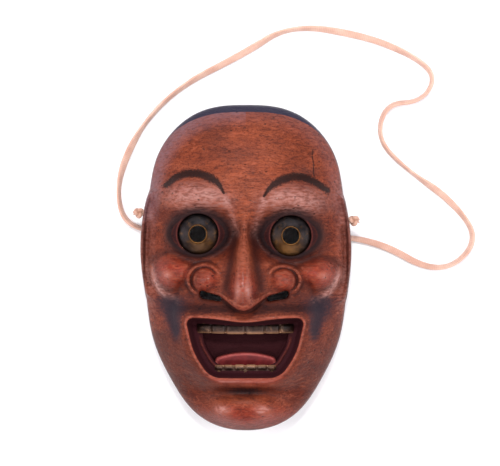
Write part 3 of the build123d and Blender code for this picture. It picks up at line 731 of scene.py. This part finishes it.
    brow = np.zeros(len(x))
    along_brow, across_brow = np.zeros(len(x)), np.zeros(len(x))
    for line in (
        [(-12.5, 46), (-17, 53.5), (-25, 58.5), (-35, 60), (-44, 57.5), (-53.5, 50)],
        [(11, 44), (16, 51), (24, 56), (33, 58), (43, 55), (55.5, 47)],
    ):
        curve = arc(line)
        d, along = path_distance(x, y, curve)
        width = 0.9 + 2.3 * smooth(along / 0.3) * (1 - 0.35 * smooth((along - 0.6) / 0.4))
        ends = smooth(along / 0.03) * smooth((1 - along) / 0.08)
        mask = np.exp(-((d / width) ** 2)) * ends
        near = mask > brow
        brow = np.where(near, mask, brow)
        sign = np.sign(y - np.interp(x, *zip(*sorted(curve))))
        along_brow = np.where(d < 8, along + 0.012 * sign * d, along_brow)
        across_brow = np.where(d < 8, d, across_brow)
    attribute(mesh, "brow", brow * front)
    attribute(mesh, "brow_along", along_brow)
    attribute(mesh, "brow_across", across_brow)

    recess = smooth(-(mouth + 0.15) / 0.7)
    attribute(mesh, "maroon", recess * smooth((z - 20) / 4))
    throat = throat_distance(x, y)
    # Painted shade: dark behind the upper teeth, inside the nostrils and on the throat's floor.
    gums = smooth(-(mouth + 5.4) / 1.2) * smooth((-33 - y) / 0.8 + 0.5) * smooth((y + 41) / 4)
    nostril = np.hypot(np.maximum(np.abs(beside_nose - NOSTRIL_X) - 4.2, 0), y - NOSTRIL_Y)
    deep = smooth((2.6 - nostril) / 1.0) * smooth((relief(x, y) - z - 0.4) / 1.5)
    dark = np.maximum(gums, deep)
    dark = np.maximum(dark, 0.36 * smooth((1.0 - throat) / 0.8) * smooth((38.5 - z) / 3) * (z > 24))
    attribute(mesh, "dark", dark)
    # Painted highlights: light lines along the gum ridge, the lip's raised edge and below the lower lip,
    # and the nose's lower edge, with a glint round each eye.
    gum_line = 0.3 * np.exp(-(((throat - 1.7) / 0.6) ** 2)) * smooth((-42 - y) / 4)
    lip_edge_highlight = np.exp(-(((mouth - 0.1) / 0.42) ** 2)) * (0.7 + 0.3 * smooth((-60 - y) / 8))
    lip_edge_highlight = np.maximum(lip_edge_highlight, 0.7 * np.exp(-(((mouth - 1.2) / 1.1) ** 2)) * smooth((-67 - y) / 2))
    nose_line = np.exp(-(((ys - nose_edge(xn) - 0.6) / 0.7) ** 2)) * smooth((24 - xn) / 4)
    nose_line = 0.25 * glint + 0.55 * nose_line
    attribute(mesh, "rim", np.maximum(np.maximum(lip_edge_highlight, gum_line), nose_line) * front)
    crack, along = path_distance(x, y, [(42.9, 75.7), (42.2, 71), (43.4, 66), (43.0, 62), (43.6, 58)])
    attribute(mesh, "crack", np.exp(-((crack / 0.45) ** 2)) * front)


STEP = 0.68
shell, shell_points = mesh_from_field(
    "carved_face", shell_columns, shell_field, (-72.0, -108.0, -2.0), (72.0, 108.0, 81.0), STEP
)
paint(shell.data, shell_points)
shell.data.materials.append(wood_material())
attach(shell, "root")
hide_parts("mask_shell")


# ---------------------------------------------------------------- metal eyes


def revolved(name, profile, place, count=144):
    """A ring turned from a closed profile of (radius, height) corners, a little out of true."""
    vertices, faces, glow, shadow = [], [], [], []
    size = len(profile)
    for i in range(count):
        a = 2 * math.pi * i / count
        for r, z in profile:
            dent = 0.05 * math.sin(5 * a + 0.9 * r) + 0.04 * math.sin(9 * a - 1.7 * r)
            top = smooth((z - 42.4) / 1.5)
            vertices.append((
                (place[0] + r * math.cos(a)) * MM,
                (place[1] + r * math.sin(a)) * MM,
                (z + dent * float(top)) * MM,
            ))
            rubbed = bump(math.cos(a) * r, math.sin(a) * r, place[2], place[3], 8.0, 7.0)
            ring = math.exp(-(((r - 5.6) / 0.3) ** 2))
            glow.append(float(rubbed) * place[4] + 0.9 * ring)
            # painted shadow of the upper lid: darker toward the top of the cap
            shadow.append(float(smooth((r * math.sin(a) - 5.5) / 6.0)))
    for i in range(count):
        for j in range(size):
            k, m = (i + 1) % count, (j + 1) % size
            faces.append((i * size + j, k * size + j, k * size + m, i * size + m))
    mesh = bpy.data.meshes.new(name)
    mesh.from_pydata(vertices, [], faces)
    mesh.shade_smooth()
    attribute(mesh, "glow", glow)
    attribute(mesh, "painted_shadow", shadow)
    made = bpy.data.objects.new(name, mesh)
    bpy.context.scene.collection.objects.link(made)
    return made


def cap_profile():
    """A dish with a skirt and flange below and a rolled edge round the pupil."""
    points = [(15.0, 42.28), (12.78, 42.28), (12.74, 43.3), (12.6, 43.65)]
    points += [(r, 47.9 - r**2 / 38) for r in np.linspace(12.2, 6.1, 9)]
    points += [(5.95, 47.3), (5.7, 47.5), (5.4, 47.45), (5.2, 47.1), (5.15, 46.5)]
    points += [(7.0, 45.6), (9.0, 44.8), (11.3, 43.2), (11.9, 42.6), (11.95, 41.55), (15.0, 41.55)]
    return points


EYE_METAL = metal_material(
    "eye_metal", (13, 11, 15), (38, 30, 32), (112, 74, 32), 330.0, 0.32, 0.52, glow="glow"
)
for side, name, glow in ((-1, "left", (3.0, -8.0, 0.4)), (1, "right", (-3.0, -9.0, 0.8))):
    place = (side * EYE_X - EYE_SHIFT, EYE_Y - EYE_LEAN * side, *glow)
    cap = revolved("metal_eye_" + name, cap_profile(), place)
    cap.data.materials.append(EYE_METAL)
    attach(cap, "root")
    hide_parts("eye_" + name)

NAIL_METAL = metal_material("nail_metal", (50, 36, 28), (96, 68, 44), (170, 128, 80), 900.0)
for name in ("eye_pins_left", "eye_pins_right", "teeth_pins_upper", "teeth_pins_lower"):
    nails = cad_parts[name].data
    nails.materials.clear()
    nails.materials.append(NAIL_METAL)


# ---------------------------------------------------------------- teeth and tongue

UPPER = ((12.4, 9.6, 8.6), -33.0, -41.4)
LOWER = ((7.2, 6.6, 5.6), -66.4, -60.6)


def box_distance(x, y, half_x, half_y, corner):
    a, b = np.abs(x) - half_x + corner, np.abs(y) - half_y + corner
    return np.minimum(np.maximum(a, b), 0) + np.hypot(np.maximum(a, 0), np.maximum(b, 0)) - corner


def teeth_fields(widths, gum_y, edge_y):
    """Columns and field of a curved plate with a row of raised teeth."""
    down = 1 if edge_y > gum_y else -1
    root_y, reach = gum_y + down * 2.2, sum(widths)

    def columns(x, y):
        teeth = np.full(np.shape(x), 50.0)
        start = 0.0
        for n, width in enumerate(widths):
            for side in (-1, 1):
                tall = abs(edge_y - root_y) - 0.25 * n
                cx, cy = side * (start + width / 2), root_y + down * tall / 2
                tooth = box_distance(x - cx, y - cy, width / 2 - 0.18, tall / 2, 1.5)
                teeth = np.minimum(teeth, tooth)
            start += width
        sheet = box_distance(x, y - (gum_y + edge_y) / 2, reach, abs(edge_y - gum_y) / 2 - 0.5, 0.8)
        return {"teeth": teeth, "sheet": sheet}

    def field(x, y, z, c):
        s = np.hypot(x, z - GUM_Z) - GUM_RADIUS
        sheet = smax(smax(c["sheet"], s - 0.75, 0.3), 0.05 - s, 0.2)
        dome_top = 2.2 - 0.9 * np.exp(-((np.minimum(c["teeth"], 0) / 0.9) ** 2))
        tooth = smax(smax(c["teeth"], s - dome_top, 0.7), 0.05 - s, 0.2)
        return smin(sheet, tooth, 0.3)

    return columns, field


def tooth_plate(name, node, row):
    widths, gum_y, edge_y = row
    columns, field = teeth_fields(*row)
    low_y, high_y = min(gum_y, edge_y) - 1, max(gum_y, edge_y) + 1
    reach = sum(widths) + 1.5
    plate, p = mesh_from_field(
        name, columns, field, (-reach, low_y, 33.0), (reach, high_y, 44.0), 0.34
    )
    # painted highlight along each row's biting edge
    glow = np.exp(-(((p[:, 1] - edge_y) / 1.1) ** 2))
    attribute(plate.data, "glow", glow)
    # painted shade: darker toward the gum, under the lip
    attribute(plate.data, "painted_shadow", 0.85 * smooth((np.abs(p[:, 1] - edge_y) - 2.0) / 4.0))
    plate.data.materials.append(TEETH_METAL)
    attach(plate, "root")
    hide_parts(node)
    return plate


TEETH_METAL = metal_material(
    "teeth_gilt", (34, 19, 16), (66, 42, 33), (186, 138, 104), 330.0, 0.34, 0.5, glow="glow", metallic=0.45
)
tooth_plate("upper_tooth_row", "upper_teeth", UPPER)
tooth_plate("lower_tooth_row", "lower_teeth", LOWER)


TONGUE_HALF, TONGUE_TIP, TONGUE_ROOT = 19.5, -53.5, -68.0


def tongue_columns(x, y):
    tip = TONGUE_TIP - 3.6 * (x / TONGUE_HALF) ** 2
    return {"plan": smax(smax(y - tip, np.abs(x) - TONGUE_HALF, 2.5), TONGUE_ROOT - y, 1.0)}


def tongue_field(x, y, z, c):
    top = 33.0 + 1.0 * smooth((y + 62) / 4) * np.cos(np.clip(x / 12, -1.5, 1.5))
    return smax(smax(c["plan"], z - top, 2.2), 25.0 - z, 1.0)


tongue, p = mesh_from_field(
    "carved_tongue", tongue_columns, tongue_field, (-21.5, -70.0, 23.0), (21.5, -52.0, 36.0), 0.45
)
# painted highlight along the tongue's edge
attribute(tongue.data, "edge", np.exp(-(((tongue_columns(*p.T[:2])["plan"] + 0.9) / 0.8) ** 2)))
tongue.data.materials.append(tongue_material())
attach(tongue, "root")
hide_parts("tongue")


# ---------------------------------------------------------------- cord and knots

CORD_WIDTH, CORD_THICK = 4.4, 2.2
ROUTE = (
    (-67.4, 35.4, 23.0), (-38.5, 35.4, 23.0), (-38.5, 24.5, 1.8),
    (-79, 24, 1.8), (-86, 55, 1.8), (-70, 92, 1.8), (-43, 119, 1.8), (-3, 139, 1.8),
    (29, 159, 1.8), (79, 151, 1.8), (111, 137, 1.8), (124, 124, 1.8), (114, 108, 1.8),
    (91, 107, 1.8), (85, 84, 1.8), (104, 64, 1.8), (134, 44, 1.8), (153, 17, 1.8),
    (126, -6, 1.8), (83, 19, 1.8),
    (38.5, 20.0, 1.8), (38.5, 30.4, 23.0), (67.4, 30.4, 23.0),
)


def route_line():
    """The cord's smooth line, in mm, evenly stepped."""
    curve = bpy.data.curves.new("cord_route", "CURVE")
    curve.dimensions = "3D"
    curve.resolution_u = 24
    spline = curve.splines.new("NURBS")
    spline.points.add(len(ROUTE) - 1)
    for point, (x, y, z) in zip(spline.points, ROUTE):
        point.co = (x * MM, y * MM, z * MM, 1.0)
    spline.order_u = 3
    spline.use_endpoint_u = True
    holder = bpy.data.objects.new("cord_route", curve)
    bpy.context.scene.collection.objects.link(holder)
    bpy.context.view_layer.update()
    mesh = bpy.data.meshes.new_from_object(holder)
    points = np.array([v.co[:] for v in mesh.vertices]) / MM
    bpy.data.objects.remove(holder)
    bpy.data.meshes.remove(mesh)
    gone = np.concatenate([[0], np.cumsum(np.linalg.norm(np.diff(points, axis=0), axis=1))])
    even = np.linspace(0, gone[-1], int(gone[-1] / 1.0) + 1)
    return np.stack([np.interp(even, gone, points[:, k]) for k in range(3)], axis=1), gone[-1]


def thong(name, line, widths, thicks, turns, around=20):
    """A closed flat band along a line; turns is its twist, 0 where it lies flat."""
    vertices, faces, across, along = [], [], [], []
    ahead = np.gradient(line, axis=0)
    ahead /= np.linalg.norm(ahead, axis=1)[:, None]
    side = np.cross((0, 0, 1), ahead[0])
    gone = 0.0
    for i, (point, t) in enumerate(zip(line, ahead)):
        level = np.cross((0, 0, 1), t)
        if np.linalg.norm(level) > 0.35:
            level /= np.linalg.norm(level)
            side = level if level @ side > -0.2 or i > 3 else -level
        side = side - t * (side @ t)
        side /= np.linalg.norm(side)
        up = np.cross(t, side)
        c, s = math.cos(turns[i]), math.sin(turns[i])
        wide, thin = side * c + up * s, up * c - side * s
        half, deep = widths[i] / 2, thicks[i] / 2
        reach = abs(wide[2]) * half + abs(thin[2]) * deep * 0.8
        lift = max(0.0, reach + 0.05 - point[2])
        if i:
            gone += float(np.linalg.norm(point - line[i - 1]))
        for k in range(around):
            a = 2 * math.pi * k / around
            ca, sa = math.cos(a), math.sin(a)
            u = math.copysign(abs(ca) ** 0.6, ca)
            v = math.copysign(abs(sa) ** 0.75, sa)
            vertices.append(tuple((point + wide * u * half + thin * v * deep + (0, 0, lift)) * MM))
            across.append(u)
            along.append(gone * MM)
    count = len(line)
    for i in range(count - 1):
        for k in range(around):
            m = (k + 1) % around
            faces.append((i * around + k, i * around + m, (i + 1) * around + m, (i + 1) * around + k))
    faces.append(tuple(reversed(range(around))))
    faces.append(tuple(range((count - 1) * around, count * around)))
    mesh = bpy.data.meshes.new(name)
    mesh.from_pydata(vertices, [], faces)
    mesh.shade_smooth()
    attribute(mesh, "across", across)
    attribute(mesh, "along", along)
    made = bpy.data.objects.new(name, mesh)
    bpy.context.scene.collection.objects.link(made)
    return made


line, cord_length = route_line()
gone = np.linspace(0, cord_length, len(line))
flat = np.zeros(len(line))
for cx, cy, reach in ((-5, 137, 24), (80, 150, 26), (100, 8, 26), (-78, 75, 14), (128, 47, 12)):
    flat = np.maximum(flat, np.exp(-(np.hypot(line[:, 0] - cx, line[:, 1] - cy) / reach) ** 2))
turns = 1.25 * (1 - flat) + 0.15 * np.sin(gone / 17.0)
turns = np.where(line[:, 2] > 3.0, 0.6, turns)
turns = np.convolve(np.pad(turns, 9, mode="edge"), np.ones(19) / 19, mode="valid")
widths = CORD_WIDTH * (1 + 0.04 * np.sin(gone / 9.0))
thicks = CORD_THICK * (1 + 0.10 * np.sin(gone / 6.3 + 1))
CORD_FIBRE = cord_material()
cord = thong("ear_cord", line, widths, thicks, turns)
cord.data.materials.append(CORD_FIBRE)


def knot(name, side, place, seed):
    """A tied knot: a tube in a trefoil, darker toward its middle, with a short frayed end."""
    chance = random.Random(seed)
    parts = []
    t = np.linspace(0, 2 * math.pi, 97)
    loop = np.stack([np.sin(t) + 2 * np.sin(2 * t), np.cos(t) - 2 * np.cos(2 * t), -np.sin(3 * t)], 1)
    loop *= (0.74, 0.8, 1.3)
    strands = [(loop, 1.4, True)]
    for _ in range(16):
        a, b = chance.uniform(0, 2 * math.pi), chance.uniform(0.3, 1.0)
        tip = np.array((side * chance.uniform(2.6, 3.8), b * 1.8 * math.cos(a), b * 1.8 * math.sin(a)))
        bend = np.array((side * 1.2, 0.3 * tip[1], 0.3 * tip[2] + 0.4))
        s = np.linspace(0, 1, 9)[:, None]
        strands.append((bend * 2 * s * (1 - s) + tip * s**2, 0.22, False))
    for points, radius, closed in strands:
        curve = bpy.data.curves.new("strand", "CURVE")
        curve.dimensions = "3D"
        curve.bevel_depth = radius * MM
        curve.bevel_resolution = 4 if closed else 1
        curve.use_fill_caps = True
        spline = curve.splines.new("POLY")
        if closed:
            points = points[:-1]
        spline.points.add(len(points) - 1)
        for at, p in zip(spline.points, points):
            at.co = (*(np.array(place) + p) * MM, 1.0)
        spline.use_cyclic_u = closed
        holder = bpy.data.objects.new("strand", curve)
        bpy.context.scene.collection.objects.link(holder)
        bpy.context.view_layer.update()
        parts.append(bpy.data.meshes.new_from_object(holder))
        bpy.data.objects.remove(holder)
    vertices, faces = [], []
    for part in parts:
        start = len(vertices)
        vertices += [v.co[:] for v in part.vertices]
        faces += [[start + i for i in f.vertices] for f in part.polygons]
    mesh = bpy.data.meshes.new(name)
    mesh.from_pydata(vertices, [], faces)
    mesh.shade_smooth()
    attribute(mesh, "across", [0.0] * len(vertices))
    attribute(mesh, "along", [v[1] + v[2] for v in vertices])
    out = np.linalg.norm(np.array(vertices) / MM - place, axis=1)
    attribute(mesh, "knot_darkening", 0.35 + 0.65 * smooth((3.4 - out) / 1.5))
    mesh.materials.append(CORD_FIBRE)
    made = bpy.data.objects.new(name, mesh)
    bpy.context.scene.collection.objects.link(made)
    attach(made, "root")
    return made


left_knot = knot("tied_knot_left", -1, (-68.7, 35.4, 23.6), 3)
right_knot = knot("tied_knot_right", 1, (69.3, 30.4, 23.6), 8)
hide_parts("knot_left")
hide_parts("knot_right")
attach(cord, "root")
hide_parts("cord")


# ---------------------------------------------------------------- floor, light and camera

floor_mesh = bpy.data.meshes.new("floor")
floor_mesh.from_pydata([(-4, -4, 0), (4, -4, 0), (4, 4, 0), (-4, 4, 0)], [], [(0, 1, 2, 3)])
floor = bpy.data.objects.new("floor", floor_mesh)
bpy.context.scene.collection.objects.link(floor)
n = Nodes("white_paper")
floor_mesh.materials.append(
    n.finish(n.mix(n.noise(6.0, 2), srgb(247, 248, 252), srgb(250, 251, 254)), 0.9, Specular_IOR_Level=0.1)
)

scene = bpy.context.scene
world = bpy.data.worlds.new("soft_room")
world.use_nodes = True
world.node_tree.nodes["Background"].inputs[0].default_value = (0.90, 0.92, 1.0, 1.0)
world.node_tree.nodes["Background"].inputs[1].default_value = 0.22
scene.world = world


def softbox(name, place, aim, size, power, color):
    light = bpy.data.lights.new(name, "AREA")
    light.shape = "RECTANGLE"
    light.size, light.size_y = size
    light.energy = power
    light.color = color
    holder = bpy.data.objects.new(name, light)
    holder.location = place
    holder.rotation_euler = (Vector(aim) - Vector(place)).to_track_quat("-Z", "Y").to_euler()
    scene.collection.objects.link(holder)


softbox("softbox_left", (-1.0, 0.0, 0.72), (0, 0, 0.03), (0.7, 1.0), 9.0, (1.0, 0.98, 0.98))
softbox("softbox_right", (1.0, -0.05, 0.72), (0, 0, 0.03), (0.7, 1.0), 9.0, (1.0, 0.98, 0.98))
softbox("softbox_crown", (0.0, 1.1, 0.8), (0, 0, 0.03), (1.2, 0.6), 8.0, (0.96, 0.97, 1.0))
softbox("softbox_key", (0.0, 0.48, 1.12), (0, 0, 0.03), (0.24, 0.16), 7.0, (1.0, 0.98, 0.96))
softbox("softbox_low", (0.0, -0.52, 1.1), (0, 0, 0.03), (0.2, 0.16), 3.4, (1.0, 0.97, 0.95))
softbox("softbox_chin", (0.0, -1.1, 0.8), (0, 0, 0.03), (1.2, 0.5), 5.0, (1.0, 0.98, 0.97))

camera = bpy.data.objects.new("camera", bpy.data.cameras.new("camera"))
camera.data.sensor_width = 36.0
camera.data.lens = 120.9
camera.location = (0.0203, 0.0224, 1.1)
camera.rotation_euler = (0.0, math.atan(0.018 / 1.1), 0.0)
scene.collection.objects.link(camera)
scene.camera = camera
scene.view_settings.view_transform = "Standard"
